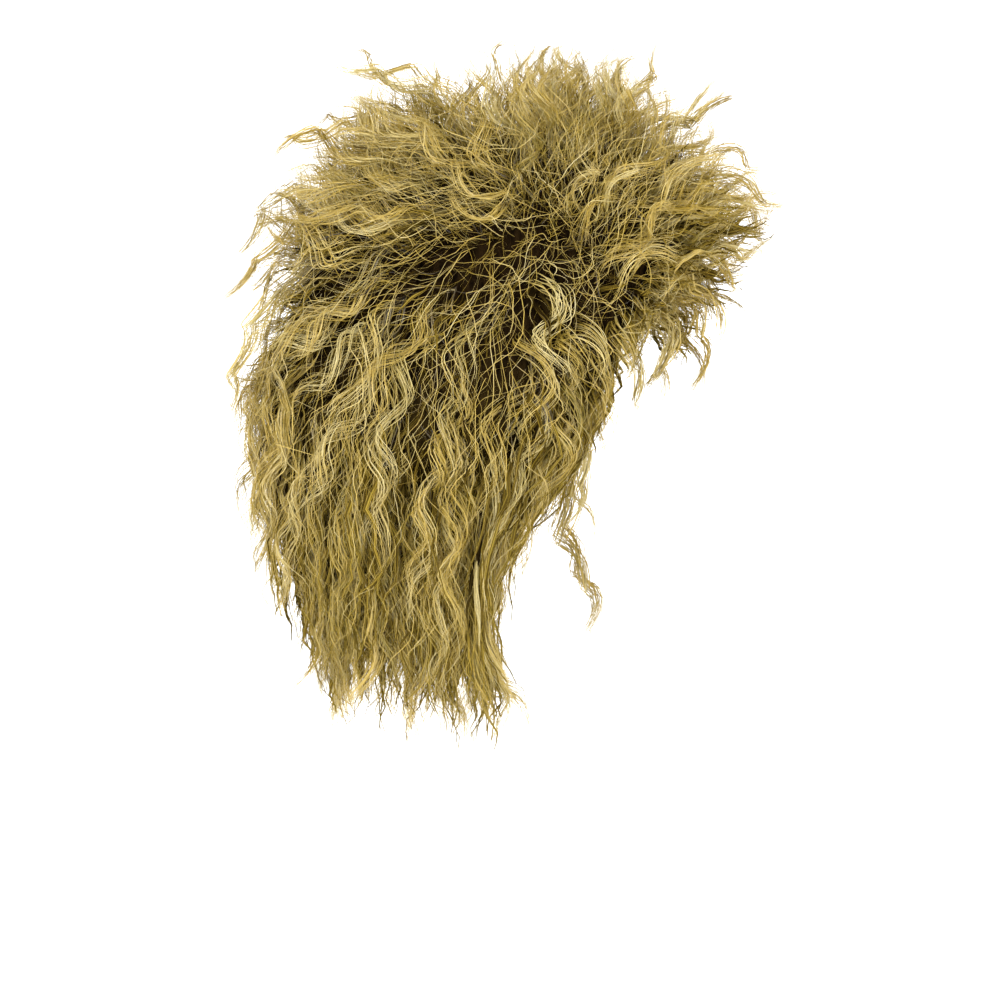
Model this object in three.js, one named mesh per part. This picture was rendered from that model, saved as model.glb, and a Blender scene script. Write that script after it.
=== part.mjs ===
// A shaggy mullet wig, as it is worn: a thin stretch cap that carries eight bundles of teased, crimped hair.
// The crown and the fringe stand out in spikes, the sides and back are layered, and the tail is left long.
//
// Frame, in millimetres: +X forward (the face), +Y to the wearer's left, +Z up.
// The origin is the crown of the head, where the inside of the cap rests on it.
//
// Every strand grows along one curve that depends on where it is rooted. A root is a pair of numbers: its
// azimuth round the head (0 at the face, 90 at the left ear, 180 at the back, in degrees) and its tier (0 at
// the crown, 1 at the edge of the cap). A bundle is the hair of one range of azimuths and tiers: a closed
// backing along the first stretch of those curves, and a tapering lock for each cell of its outer face.
import * as THREE from "three";

// The head that the cap fits, as half ellipsoids about the level where the head is widest
const headFront = 92; // centre to forehead
const headBack = 98; // centre to back of the head
const headHalfWidth = 77; // centre to side of the head
const headRise = 92; // widest level to crown
const headTuck = 85; // half height of the ellipsoid below the widest level
const headShift = -8; // centre behind the crown point

// The cap
const capWall = 2;
const seatGap = 0.3; // between the cap and the hair sewn on it

// The hair
const hairRise = 122; // crown to the highest tips
const hairFrontReach = 180; // crown to the foremost tips
const hairBackReach = 200; // crown to the rearmost tips
const hairSideReach = 165; // crown to the outermost tips at each side
const hairDrop = 345; // crown to the ends of the tail
const bundleGap = 0.7; // between neighbouring bundles, measured at the cap
const tipJitter = 0.07; // how much longer or shorter single locks are, as a share of the curve
const curlRoom = 0.85; // how much of the room beside a lock its curl may use
const curlTurn = 1.5; // half turns that a lock's curl makes from its base to its tip
const cellJitter = 0.27; // how far the corners of the locks' cells wander, as a share of a cell

// How many locks there are round the head and from crown to edge
const columns = 28;
const tiers = 11;

// Azimuths, in degrees, of the named columns in the tables below
const STATION = { front: 0, brow: 42, temple: 64, side: 90, quarter: 135, back: 180 };

// The cap's edge: how far it lies from the crown, as an angle at the head's centre. It dips in front of the
// ear as a sideburn tab, rises over the ear, and is lowest at the nape.
const CAP_EDGE = [
  { azimuth: 0, tilt: 60 },
  { azimuth: 35, tilt: 66 },
  { azimuth: 58, tilt: 92 },
  { azimuth: 72, tilt: 108 },
  { azimuth: 92, tilt: 97 },
  { azimuth: 112, tilt: 103 },
  { azimuth: 140, tilt: 123 },
  { azimuth: 180, tilt: 133 },
];

// How far out the tips of each tier reach, as shares of hairFrontReach, hairSideReach and hairBackReach
const TIP_REACH = [
  { tier: 0.0, front: 0.0, brow: 0.0, temple: 0.0, side: 0.0, quarter: 0.0, back: 0.0 },
  { tier: 0.2, front: 0.33, brow: 0.34, temple: 0.38, side: 0.44, quarter: 0.48, back: 0.49 },
  { tier: 0.4, front: 0.61, brow: 0.63, temple: 0.7, side: 0.78, quarter: 0.81, back: 0.8 },
  { tier: 0.6, front: 0.83, brow: 0.85, temple: 0.86, side: 0.98, quarter: 0.96, back: 0.95 },
  { tier: 0.8, front: 0.99, brow: 0.92, temple: 0.76, side: 0.92, quarter: 0.9, back: 0.89 },
  { tier: 1.0, front: 0.63, brow: 0.56, temple: 0.5, side: 0.59, quarter: 0.62, back: 0.62 },
];

// How high the tips of each tier end, as shares of hairRise above the crown and of hairDrop below it
const TIP_HEIGHT = [
  { tier: 0.0, front: 1.0, brow: 1.0, temple: 1.0, side: 1.0, quarter: 1.0, back: 1.0 },
  { tier: 0.2, front: 0.97, brow: 0.94, temple: 0.9, side: 0.86, quarter: 0.82, back: 0.79 },
  { tier: 0.4, front: 0.77, brow: 0.72, temple: 0.58, side: 0.42, quarter: 0.34, back: 0.27 },
  { tier: 0.6, front: 0.42, brow: 0.33, temple: 0.0, side: -0.12, quarter: -0.2, back: -0.27 },
  { tier: 0.8, front: 0.03, brow: -0.03, temple: -0.28, side: -0.58, quarter: -0.65, back: -0.7 },
  { tier: 1.0, front: -0.29, brow: -0.24, temple: -0.59, side: -0.99, quarter: -1.0, back: -0.99 },
];

// How far a curve leaves the cap straight out before it bends, as a share of its straight length, and how
// far along it the backing reaches
const GROWTH = [
  { tier: 0.0, lift: 0.33, backing: 0.56 },
  { tier: 0.4, lift: 0.38, backing: 0.56 },
  { tier: 0.6, lift: 0.42, backing: 0.58 },
  { tier: 0.8, lift: 0.32, backing: 0.64 },
  { tier: 1.0, lift: 0.08, backing: 0.74 },
];
const outwardPull = 0.33; // handle at the tip of a curve that stands up, as a share of its straight length
const hangingPull = 0.42; // handle at the tip of a curve that hangs down
const HANG = { from: -40, to: 120 }; // drop to the tip over which a curve goes from standing to hanging

// Stations along the curves for the backing, as shares of its reach, and a lock's sections beyond it
const BACKING_STATIONS = [0, 0.34, 0.67, 1];
const LOCK_SECTIONS = [
  { along: 0.3, width: 0.8 },
  { along: 0.62, width: 0.52 },
  { along: 0.86, width: 0.24 },
];

// The bundles, as ranges of azimuths, in degrees, and tiers. They are rounded to whole cells.
const BUNDLES = [
  { name: "crown_hair", from: -180, to: 180, top: 0, bottom: 0.36, colour: "#a8904a" },
  { name: "fringe_hair", from: -39, to: 39, top: 0.36, bottom: 1, colour: "#b89c50" },
  { name: "temple_hair_left", from: 39, to: 77, top: 0.36, bottom: 1, colour: "#a58b45" },
  { name: "temple_hair_right", from: -77, to: -39, top: 0.36, bottom: 1, colour: "#a58b45" },
  { name: "side_hair_left", from: 77, to: 116, top: 0.36, bottom: 1, colour: "#9c8340" },
  { name: "side_hair_right", from: -116, to: -77, top: 0.36, bottom: 1, colour: "#9c8340" },
  { name: "back_hair", from: 116, to: 244, top: 0.36, bottom: 0.72, colour: "#96803f" },
  { name: "tail_hair", from: 116, to: 244, top: 0.72, bottom: 1, colour: "#a48c48" },
];

const degrees = Math.PI / 180;
const UP = new THREE.Vector3(0, 0, 1);
const headCentre = new THREE.Vector3(headShift, 0, -headRise);

// A smooth curve through the rows' values of one column, read at x. Its ends are level if flatEnds is set.
function through(rows, key, column, x, flatEnds = false) {
  const last = rows.length - 1;
  const slope = (i) => {
    if (flatEnds && (i === 0 || i === last)) return 0;
    const before = rows[Math.max(i - 1, 0)];
    const after = rows[Math.min(i + 1, last)];
    return (after[column] - before[column]) / (after[key] - before[key]);
  };
  let i = 0;
  while (i < last - 1 && x > rows[i + 1][key]) i += 1;
  const span = rows[i + 1][key] - rows[i][key];
  const s = (x - rows[i][key]) / span;
  const [s2, s3] = [s * s, s * s * s];
  return (
    rows[i][column] * (2 * s3 - 3 * s2 + 1) +
    rows[i + 1][column] * (3 * s2 - 2 * s3) +
    slope(i) * span * (s3 - 2 * s2 + s) +
    slope(i + 1) * span * (s3 - s2)
  );
}

// The value of a two-way table at an azimuth and a tier. Left and right are alike.
function tableAt(rows, azimuth, tier) {
  const names = Object.keys(STATION);
  const across = names.map((name) => ({
    azimuth: STATION[name],
    value: through(rows, "tier", name, tier),
  }));
  return through(across, "azimuth", "value", foldAzimuth(azimuth), true);
}

function foldAzimuth(azimuth) {
  const turned = Math.abs(azimuth) % 360;
  return turned > 180 ? 360 - turned : turned;
}

// The point of the head below a root, moved outward by offset along the head's normal
function onHead(azimuth, tier, offset) {
  const tilt = tier * through(CAP_EDGE, "azimuth", "tilt", foldAzimuth(azimuth), true) * degrees;
  const turn = azimuth * degrees;
  const radii = new THREE.Vector3(
    Math.cos(turn) > 0 ? headFront : headBack,
    headHalfWidth,
    Math.cos(tilt) > 0 ? headRise : headTuck,
  );
  const unit = new THREE.Vector3(
    Math.cos(turn) * Math.sin(tilt),
    Math.sin(turn) * Math.sin(tilt),
    Math.cos(tilt),
  );
  const normal = unit.clone().divide(radii).normalize();
  return { point: unit.multiply(radii).add(headCentre).addScaledVector(normal, offset), normal };
}

// Where the strands of a root end
function tipOf(azimuth, tier) {
  const reach = tableAt(TIP_REACH, azimuth, tier);
  const height = tableAt(TIP_HEIGHT, azimuth, tier);
  const turn = azimuth * degrees;
  return new THREE.Vector3(
    Math.cos(turn) * reach * (Math.cos(turn) > 0 ? hairFrontReach : hairBackReach),
    Math.sin(turn) * reach * hairSideReach,
    height * (height > 0 ? hairRise : hairDrop),
  );
}

// The curve along which the strands of a root grow
function strandCurve(azimuth, tier) {
  const root = onHead(azimuth, tier, capWall + seatGap);
  const tip = tipOf(azimuth, tier);
  const reach = tip.distanceTo(root.point);
  const lift = through(GROWTH, "tier", "lift", tier) * reach;
  const hanging = THREE.MathUtils.smoothstep(root.point.z - tip.z, HANG.from, HANG.to);
  const outward = tip.clone().sub(headCentre).normalize();
  const leaving = root.point.clone().addScaledVector(root.normal, lift);
  const arriving = tip
    .clone()
    .addScaledVector(UP, hangingPull * reach * hanging)
    .addScaledVector(outward, -outwardPull * reach * (1 - hanging));
  return new THREE.CubicBezierCurve3(root.point, leaving, arriving, tip);
}

const strandPoint = ({ azimuth, tier }, along) => strandCurve(azimuth, tier).getPoint(along);
const backingReach = (tier) => through(GROWTH, "tier", "backing", tier);

// Repeatable scatter from -1 to 1, one value for each whole-number triple
function scatter(i, j, k) {
  const wave = Math.sin(i * 127.1 + j * 311.7 + k * 74.7) * 43758.5453;
  return 2 * (wave - Math.floor(wave)) - 1;
}

// Collects faces, each given by its corners in order as seen from outside
class Faces {
  constructor() {
    this.positions = [];
  }
  triangle(a, b, c) {
    const area = b.clone().sub(a).cross(c.clone().sub(a)).length() / 2;
    const smallest = 1e-6; // at the crown point a four-sided cell has two corners in one place
    if (area > smallest) this.positions.push(...a.toArray(), ...b.toArray(), ...c.toArray());
  }
  quad(a, b, c, d) {
    this.triangle(a, b, c);
    this.triangle(a, c, d);
  }
  geometry() {
    const made = new THREE.BufferGeometry();
    made.setAttribute("position", new THREE.Float32BufferAttribute(this.positions, 3));
    made.computeVertexNormals();
    return made;
  }
}

const columnWidth = 360 / columns;

// The roots at the corners of a bundle's cells, by column and row. They are drawn in by half the gap where
// the bundle meets a neighbour, and each has the wander that it takes on the way out.
function cornersOf(bundle, jitter) {
  const [first, last] = [Math.round(bundle.from / columnWidth), Math.round(bundle.to / columnWidth)];
  const [top, bottom] = [Math.round(bundle.top * tiers), Math.round(bundle.bottom * tiers)];
  const wholeTurn = last - first === columns;
  const turnGap = bundleGap / 2 / headHalfWidth / degrees;
  const tierGap = bundleGap / 2 / (headRise * CAP_EDGE[0].tilt * degrees);
  const grid = [];
  for (let column = first; column <= last; column += 1) {
    const side = wholeTurn ? 0 : Number(column === first) - Number(column === last);
    const rows = [];
    for (let row = top; row <= bottom; row += 1) {
      const end = Number(row === top && top > 0) - Number(row === bottom && bottom < tiers);
      const inside = side === 0 && row > top && row < bottom;
      const seed = wholeTurn && column === last ? first : column;
      rows.push({
        azimuth: column * columnWidth + side * turnGap,
        tier: row / tiers + end * tierGap,
        turnWander: inside ? jitter * columnWidth * scatter(seed, row, 2) : 0,
        tierWander: inside ? (jitter / tiers) * scatter(seed, row, 3) : 0,
      });
    }
    grid.push(rows);
  }
  return { grid, wholeTurn, first, top };
}

const wandered = ({ azimuth, tier, turnWander, tierWander }, share) => ({
  azimuth: azimuth + turnWander * share,
  tier: tier + tierWander * share,
});

// A closed body over a grid of roots. pointAt(root, share) gives its points from the inside (0) to the
// outside (1), and outerFace covers each cell of the outer side.
function shellBody({ grid, wholeTurn }, shares, pointAt, outerFace) {
  const faces = new Faces();
  const points = grid.map((rows) => rows.map((root) => shares.map((s) => pointAt(wandered(root, s), s))));
  if (wholeTurn) points[points.length - 1] = points[0];
  const [lastColumn, lastRow, outer] = [grid.length - 1, grid[0].length - 1, shares.length - 1];
  for (let i = 0; i < lastColumn; i += 1) {
    for (let j = 0; j < lastRow; j += 1) {
      const cornersHere = (values) => {
        const [here, next] = [values[i], values[i + 1]];
        return [here[j], here[j + 1], next[j + 1], next[j]];
      };
      const [a, b, c, d] = cornersHere(points).map((corner) => corner[0]);
      faces.quad(a, d, c, b);
      outerFace(faces, cornersHere(points).map((corner) => corner[outer]), cornersHere(grid), i, j);
    }
    for (let k = 0; k < outer; k += 1) {
      const [left, right] = [points[i], points[i + 1]];
      faces.quad(left[lastRow][k], right[lastRow][k], right[lastRow][k + 1], left[lastRow][k + 1]);
      if (grid[0][0].tier > 0) faces.quad(left[0][k], left[0][k + 1], right[0][k + 1], right[0][k]);
    }
  }
  if (!wholeTurn) {
    const [west, east] = [points[0], points[lastColumn]];
    for (let j = 0; j < lastRow; j += 1) {
      for (let k = 0; k < outer; k += 1) {
        faces.quad(west[j][k], west[j + 1][k], west[j + 1][k + 1], west[j][k + 1]);
        faces.quad(east[j][k], east[j][k + 1], east[j + 1][k + 1], east[j + 1][k]);
      }
    }
  }
  return faces.geometry();
}

// One lock: the cell's outline carried along the strands, narrowing to a point and curling as it goes
function addLock(faces, base, roots, column, row) {
  const outline = roots.map((root) => wandered(root, 1));
  const average = (key) => outline.reduce((sum, corner) => sum + corner[key], 0) / outline.length;
  const middle = { azimuth: average("azimuth"), tier: average("tier") };
  const [northWest, southWest, southEast, northEast] = outline;
  const roomAcross = Math.min(
    middle.azimuth - Math.max(northWest.azimuth, southWest.azimuth),
    Math.min(northEast.azimuth, southEast.azimuth) - middle.azimuth,
  );
  const roomDown = Math.min(
    middle.tier - Math.max(northWest.tier, northEast.tier),
    Math.min(southWest.tier, southEast.tier) - middle.tier,
  );
  const backing = backingReach(middle.tier);
  const tipAlong = 1 + tipJitter * scatter(column, row, 0);
  const phase = Math.PI * scatter(column, row, 1);
  const sectionAt = (along, width) => {
    const turn = phase + along * curlTurn * Math.PI;
    const free = (1 - width) * curlRoom;
    const shift = { azimuth: roomAcross * free * Math.cos(turn), tier: roomDown * free * Math.sin(turn) };
    return outline.map((corner) => {
      const root = {
        azimuth: middle.azimuth + (corner.azimuth - middle.azimuth) * width + shift.azimuth,
        tier: middle.tier + (corner.tier - middle.tier) * width + shift.tier,
      };
      return strandPoint(root, backing + (tipAlong - backing) * along);
    });
  };
  let ring = base;
  for (const { along, width } of LOCK_SECTIONS) {
    const next = sectionAt(along, width);
    next.forEach((corner, n) => {
      const after = (n + 1) % next.length;
      faces.quad(ring[n], ring[after], next[after], corner);
    });
    ring = next;
  }
  const [tip] = sectionAt(1, 0);
  ring.forEach((corner, n) => faces.triangle(corner, ring[(n + 1) % ring.length], tip));
}

function capGeometry() {
  const whole = { from: -180, to: 180, top: 0, bottom: 1 };
  const pointAt = (root, share) => onHead(root.azimuth, root.tier, share * capWall).point;
  return shellBody(cornersOf(whole, 0), [0, 1], pointAt, (faces, cell) => faces.quad(...cell));
}

function bundleGeometry(bundle) {
  const corners = cornersOf(bundle, cellJitter);
  const pointAt = (root, share) => strandPoint(root, share * backingReach(root.tier));
  return shellBody(corners, BACKING_STATIONS, pointAt, (faces, base, roots, i, j) =>
    addLock(faces, base, roots, corners.first + i, corners.top + j),
  );
}

function namedMesh(name, geometry, colour, roughness) {
  const material = new THREE.MeshStandardMaterial({ color: colour, roughness, metalness: 0 });
  const made = new THREE.Mesh(geometry, material);
  made.name = name;
  return made;
}

const wig = new THREE.Group();
wig.name = "mullet_wig";
wig.add(namedMesh("cap", capGeometry(), "#2a211a", 0.9));
for (const bundle of BUNDLES) {
  wig.add(namedMesh(bundle.name, bundleGeometry(bundle), bundle.colour, 0.6));
}

export default wig;
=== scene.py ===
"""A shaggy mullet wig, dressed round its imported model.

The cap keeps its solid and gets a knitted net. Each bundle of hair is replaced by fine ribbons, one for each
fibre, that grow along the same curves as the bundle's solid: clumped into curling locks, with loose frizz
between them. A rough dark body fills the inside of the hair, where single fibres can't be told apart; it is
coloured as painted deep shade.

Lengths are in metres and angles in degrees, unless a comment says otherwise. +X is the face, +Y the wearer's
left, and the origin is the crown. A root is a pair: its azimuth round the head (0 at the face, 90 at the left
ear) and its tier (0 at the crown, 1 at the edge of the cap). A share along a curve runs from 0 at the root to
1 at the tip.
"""

import math
from types import SimpleNamespace

import bmesh
import bpy
import numpy as np
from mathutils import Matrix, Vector


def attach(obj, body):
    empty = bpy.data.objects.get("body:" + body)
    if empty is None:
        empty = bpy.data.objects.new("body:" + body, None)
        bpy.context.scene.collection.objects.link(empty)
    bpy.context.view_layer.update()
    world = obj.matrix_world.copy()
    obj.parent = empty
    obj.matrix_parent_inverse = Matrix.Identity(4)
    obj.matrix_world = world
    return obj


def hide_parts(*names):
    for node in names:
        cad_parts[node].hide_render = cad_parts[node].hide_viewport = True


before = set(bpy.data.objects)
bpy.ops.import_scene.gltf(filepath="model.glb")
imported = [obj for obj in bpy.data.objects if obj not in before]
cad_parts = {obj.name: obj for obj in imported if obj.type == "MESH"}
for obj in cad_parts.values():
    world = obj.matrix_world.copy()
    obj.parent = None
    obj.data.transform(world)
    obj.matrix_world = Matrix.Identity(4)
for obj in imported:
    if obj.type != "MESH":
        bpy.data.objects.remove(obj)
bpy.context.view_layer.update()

# The head that the cap fits, the cap and the hair, as in the part's own source
HEAD_FRONT, HEAD_BACK, HEAD_HALF_WIDTH = 0.092, 0.098, 0.077
HEAD_RISE, HEAD_TUCK, HEAD_SHIFT = 0.092, 0.085, -0.008
HEAD_CENTRE = np.array([HEAD_SHIFT, 0, -HEAD_RISE])
ROOT_HEIGHT = 0.0023
HAIR_RISE, HAIR_FRONT, HAIR_BACK, HAIR_SIDE, HAIR_DROP = 0.122, 0.18, 0.2, 0.165, 0.345
OUTWARD_PULL, HANGING_PULL = 0.33, 0.42
HANG_FROM, HANG_TO = -0.04, 0.12

EDGE_AZIMUTH = [0, 35, 58, 72, 92, 112, 140, 180]
EDGE_TILT = [60, 66, 92, 108, 97, 103, 123, 133]

STATIONS = [0, 42, 64, 90, 135, 180]  # front, brow, temple, side, quarter and back
TIERS = [0.0, 0.2, 0.4, 0.6, 0.8, 1.0]
TIP_REACH = [
    [0.0, 0.0, 0.0, 0.0, 0.0, 0.0],
    [0.33, 0.34, 0.38, 0.44, 0.48, 0.49],
    [0.61, 0.63, 0.7, 0.78, 0.81, 0.8],
    [0.83, 0.85, 0.86, 0.98, 0.96, 0.95],
    [0.99, 0.92, 0.76, 0.92, 0.9, 0.89],
    [0.63, 0.56, 0.5, 0.59, 0.62, 0.62],
]
TIP_HEIGHT = [
    [1.0, 1.0, 1.0, 1.0, 1.0, 1.0],
    [0.97, 0.94, 0.9, 0.86, 0.82, 0.79],
    [0.77, 0.72, 0.58, 0.42, 0.34, 0.27],
    [0.42, 0.33, 0.0, -0.12, -0.2, -0.27],
    [0.03, -0.03, -0.28, -0.58, -0.65, -0.7],
    [-0.29, -0.24, -0.59, -0.99, -1.0, -0.99],
]
GROWTH_TIER = [0.0, 0.4, 0.6, 0.8, 1.0]
ROOT_LIFT = [0.33, 0.38, 0.42, 0.32, 0.08]

# How far along the curves the dark body of painted shade reaches, and where the dark roots turn to gold
CORE_DEPTH = [
    [0.42, 0.42, 0.42, 0.42, 0.42, 0.42],
    [0.44, 0.44, 0.44, 0.44, 0.44, 0.44],
    [0.46, 0.46, 0.46, 0.46, 0.46, 0.46],
    [0.48, 0.48, 0.48, 0.5, 0.5, 0.5],
    [0.5, 0.5, 0.54, 0.56, 0.56, 0.56],
    [0.5, 0.52, 0.54, 0.52, 0.5, 0.48],
]
ROOTS_END = [
    [0.32, 0.32, 0.34, 0.34, 0.34, 0.32],
    [0.38, 0.4, 0.44, 0.44, 0.4, 0.36],
    [0.42, 0.46, 0.54, 0.56, 0.5, 0.42],
    [0.42, 0.48, 0.56, 0.56, 0.5, 0.42],
    [0.36, 0.4, 0.48, 0.46, 0.42, 0.4],
    [0.28, 0.32, 0.36, 0.36, 0.36, 0.36],
]

# How the hair is combed: how far a tip strays from its root's own curve, in degrees towards the back and in
# tiers towards the edge of the cap. It parts above the ears, and runs from there to the face, back and down.
COMB_BACK = [
    [0, 0, 0, 0, 0, 0],
    [0, 0, 6, 18, 18, 0],
    [0, -10, -2, 26, 24, 0],
    [0, -10, -10, 20, 16, 0],
    [0, -4, 12, 16, 8, 0],
    [0, 6, 32, 14, 2, 0],
]
COMB_DOWN = [
    [0.0, 0.0, 0.0, 0.02, 0.03, 0.04],
    [0.0, -0.02, -0.03, -0.02, 0.04, 0.08],
    [-0.02, -0.04, -0.08, -0.08, 0.0, 0.06],
    [-0.03, -0.02, 0.04, 0.06, 0.06, 0.06],
    [0.0, 0.04, 0.08, 0.14, 0.13, 0.12],
    [0.0, 0.0, 0.0, 0.0, 0.0, 0.0],
]

# Where one bundle ends and the next begins, in azimuth and tier, as in the part's own source
FRINGE_END, TEMPLE_END, SIDE_END = 39, 77, 116
CROWN_END, BACK_END = 0.36, 0.72

# The bundles: where they grow, how many locks they have, the fibres of each lock, broad under-fibres, loose,
# lining and net fibres, and the points along each fibre of a lock. The wave and crimp are the height and
# length of a lock's curls and of the finer crimps on each fibre. The ends are how unevenly its locks end, and
# the clump is how closely the fibres of a lock gather.
TEMPLE = dict(tier=(CROWN_END, 1.0), locks=42, fibres=18, under=270, loose=520, lining=60, net=430, points=29,
              wave=(0.0096, 0.056), crimp=(0.0004, 0.022), ends=0.11, clump=(0.55, 0.92))
SIDE = dict(tier=(CROWN_END, 1.0), locks=58, fibres=18, under=310, loose=540, lining=80, net=430, points=35,
            wave=(0.0098, 0.058), crimp=(0.0009, 0.021), ends=0.12, clump=(0.6, 0.93))
BUNDLES = [
    dict(name="crown_hair", azimuth=(-180, 180), tier=(0.0, CROWN_END), locks=144, fibres=20, under=400,
         loose=1330, lining=0, net=0, points=20, wave=(0.0088, 0.052), crimp=(0.0004, 0.022), ends=0.16,
         clump=(0.4, 0.85)),
    dict(name="fringe_hair", azimuth=(-FRINGE_END, FRINGE_END), tier=(CROWN_END, 1.0), locks=72, fibres=19,
         under=230, loose=840, lining=80, net=0, points=22, wave=(0.0092, 0.054), crimp=(0.0004, 0.022),
         ends=0.18, clump=(0.35, 0.8)),
    dict(name="temple_hair_left", azimuth=(FRINGE_END, TEMPLE_END), **TEMPLE),
    dict(name="temple_hair_right", azimuth=(-TEMPLE_END, -FRINGE_END), **TEMPLE),
    dict(name="side_hair_left", azimuth=(TEMPLE_END, SIDE_END), **SIDE),
    dict(name="side_hair_right", azimuth=(-SIDE_END, -TEMPLE_END), **SIDE),
    dict(name="back_hair", azimuth=(SIDE_END, 360 - SIDE_END), tier=(CROWN_END, BACK_END), locks=94,
         fibres=18, under=420, loose=870, lining=0, net=0, points=28, wave=(0.0098, 0.058),
         crimp=(0.0009, 0.021), ends=0.13, clump=(0.55, 0.92)),
    dict(name="tail_hair", azimuth=(SIDE_END, 360 - SIDE_END), tier=(BACK_END, 1.0), locks=68, fibres=18,
         under=390, loose=590, lining=450, net=0, points=32, wave=(0.0064, 0.044), crimp=(0.0016, 0.017),
         ends=0.1, clump=(0.5, 0.9)),
]

# How fibres vary. In these tables a turn, dip or stray is how far a path wanders: in azimuth, in tier or in
# metres. A start is counted from the dark body's surface. A drape over 1 slides a fibre's middle to its tip.
# The tone and lightness are a middle and a spread about it, and other pairs are the least and the most.
LOCK = SimpleNamespace(
    spill=2.0, size=(0.7, 1.25), stretch=(0.92, 1.2), turn=9.0, most_turn=13.0, dip=0.045, drape=(0.95, 1.45),
    start=(-0.2, -0.08), end=1.05, roundness=(0.2, 0.9), tone=(0.55, 0.26), tones=(0.03, 0.97),
    lightness=(0.04, 0.1), width=0.00058,
)
# How the fibres of one lock differ from each other. The last two are the narrowest ring that a turn is
# measured on, and the last tier of a root.
WITHIN = SimpleNamespace(turn=2.2, dip=0.011, shorter=0.09, stray=(0.3, 1.3), stray_size=0.0014, phase=0.9,
                         tone=0.12, narrowest=0.3, last_tier=1.03)
# The loose fibres wander more than the locks. All but the usual share of them are longer. The points of a
# kind are counted for each point on a lock's fibre.
LOOSER = 1.8
LOOSE = SimpleNamespace(
    spill=4.0, turn=LOOSER * LOCK.turn, dip=LOOSER * LOCK.dip, drape=(0.9, 1.5), start=(-0.16, 0.05),
    end=(0.66, 1.0), usual=0.85, longer=0.08, height=(0.3, 1.4), length=(0.8, 1.6), roundness=(0.5, 1.0),
    tone=(0.5, 0.25), lightness=(-0.02, 0.12), stray=(0.5, 1.6), stray_size=0.0045, low_stray=0.003,
    width=0.00038, points=0.66,
)
# The next three are loose fibres with some of their values changed, or taken times the number given. The
# net's middle and spread are each an azimuth and a tier.
# The under-fibres are darker than the rest: painted shade beneath the locks, as their dark roots reach
# further along
UNDER = SimpleNamespace(turn=0.5, dip=0.5, earlier=0.15, end=0.64, low_end=0.92, uneven=0.08, height=0.6,
                        darker=0.12, stray=0.5, width=0.003, points=0.5)
NET = SimpleNamespace(middle=(76, 0.5), spread=(17, 0.085), tiers=(0.3, 0.8), turn=22, dip=(0.02, 0.12),
                      start=(-0.3, -0.05), end=(0.62, 0.95), height=1.3, length=1.5, stray=0.6,
                      lightness=(0.16, 0.1))
LINING = SimpleNamespace(tier=(0.985, 1.02), dip=(-0.05, 0.0), start=-0.62, end=(0.6, 0.99), stray=0.5,
                         height=0.5)
# The wisps have the axes that their curls move them along, each with its phase, and the shares along a wisp
# between which its fibres curl, gather and turn golden, and from which they taper.
WISP = SimpleNamespace(
    fibres=18, width=0.00075, widths=(0.6, 1.1), points=1.15, end=1.03, uneven=0.08, curl=(0.03, 0.05),
    phase=0.25, height=0.0035, apart=0.004, gather=0.8, stray=0.0012, tone=(0.6, 0.18), tones=(0.05, 0.95),
    shade=(0.45, 0.5), axes=((0, 0.0), (2, 0.9), (1, 2.2)), turns=3, curling=(0.1, 0.5),
    gathering=(0.1, 0.95), golden=(0.0, 0.6), taper_from=0.75,
)
TONES = (0.02, 0.98)  # the least and the most of all the fibres
LOW_TIERS, LOW_CALM = (0.6, 0.9), 0.5  # hair that grows in these tiers strays less, by this share
EVEN_STEPS, EVEN_BLUR = (0.7549, 0.5698), 0.03  # steps that fill a square evenly, and the blur added to them
SLOW_WAVES, MORE_TURNS = (0.6, 1.1, 1.9), 2  # turns of a random wave for each curl, and the curls added

# The shares along a fibre between which each of these sets in, and from which the fibre tapers
CLUMPING, STRAYING, CURLING, WANDERING = (0.2, 0.8), (0.05, 0.95), (0.15, 0.6), (0.1, 1.0)
TAPER_FROM = 0.55
FIRST_ROOT, SHORTEST = 0.02, 0.12  # the lowest start of a fibre on its curve, and its least length
LONG_TIER, OVERSHOOT = 0.66, 0.06  # fibres that grow above this tier may pass the end of their curves by this
NARROWEST = 0.45  # the least ring that a turn is measured on, for that at the edge of the cap
CALM_HEIGHTS, CALMER = (-0.1, -0.28), 0.38  # the waves are flatter by this share at the bottom
CRIMP_DEPTH = 0.5  # of its height sideways

# The hair by the neck is moved back: the heights at which this sets in and ends, how far forward, and how far
NECK_FROM, NECK_TO, NECK_FRONT, NECK_TUCK = (-0.13, -0.24), (-0.27, -0.335), (-0.04, 0.02), 0.032

FIBRE_WIDTHS, TIP_WIDTH = (0.65, 1.3), 0.2  # of its kind's width, and of its own width at its tip
RIBBON_TURNS = (0.9, 1.2)  # how a ribbon is turned at its root, and how much more at its tip, in radians
ROOT_BLUR, ROOT_FADE = 0.05, (0.26, 0.2)  # of where the dark roots end, and how far the change reaches
GOLD_SHADE, TIP_SHADE = 0.82, 0.16  # on the map, above the root's

# The map: single fibres lie in its left part, by tone, and the broad under-fibres in its right part, where
# the material draws fine lines with painted shade between them. A mark is half the width of a ribbon on it.
SINGLE_MARKS, SINGLE_MARK = (0.02, 0.7), 0.006
BROAD_MARKS, BROAD_MARK = (0.76, 0.96), 0.03
MAP_EDGE = 0.01

# The dark body, coloured as painted deep shade: its grid in azimuth and tier, its layers, its first share
# along, how rough its surface is, and how much rougher between these tiers. Points closer than the weld are
# one, and a sliver has no area.
CORE_STEPS, CORE_LAYERS, CORE_START = (5.0, 0.035), 7, 0.01
CORE_ROUGH, EDGE_TIERS, EDGE_ROUGH = 0.018, (0.85, 1.0), 2
WELD, SLIVER = 1e-5, 1e-6

# A bundle's fibres draw their random numbers from the first seed plus its place in the list, and the dark
# bodies all draw theirs from one seed
FIRST_SEED, CORE_SEED = 300, 7

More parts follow.
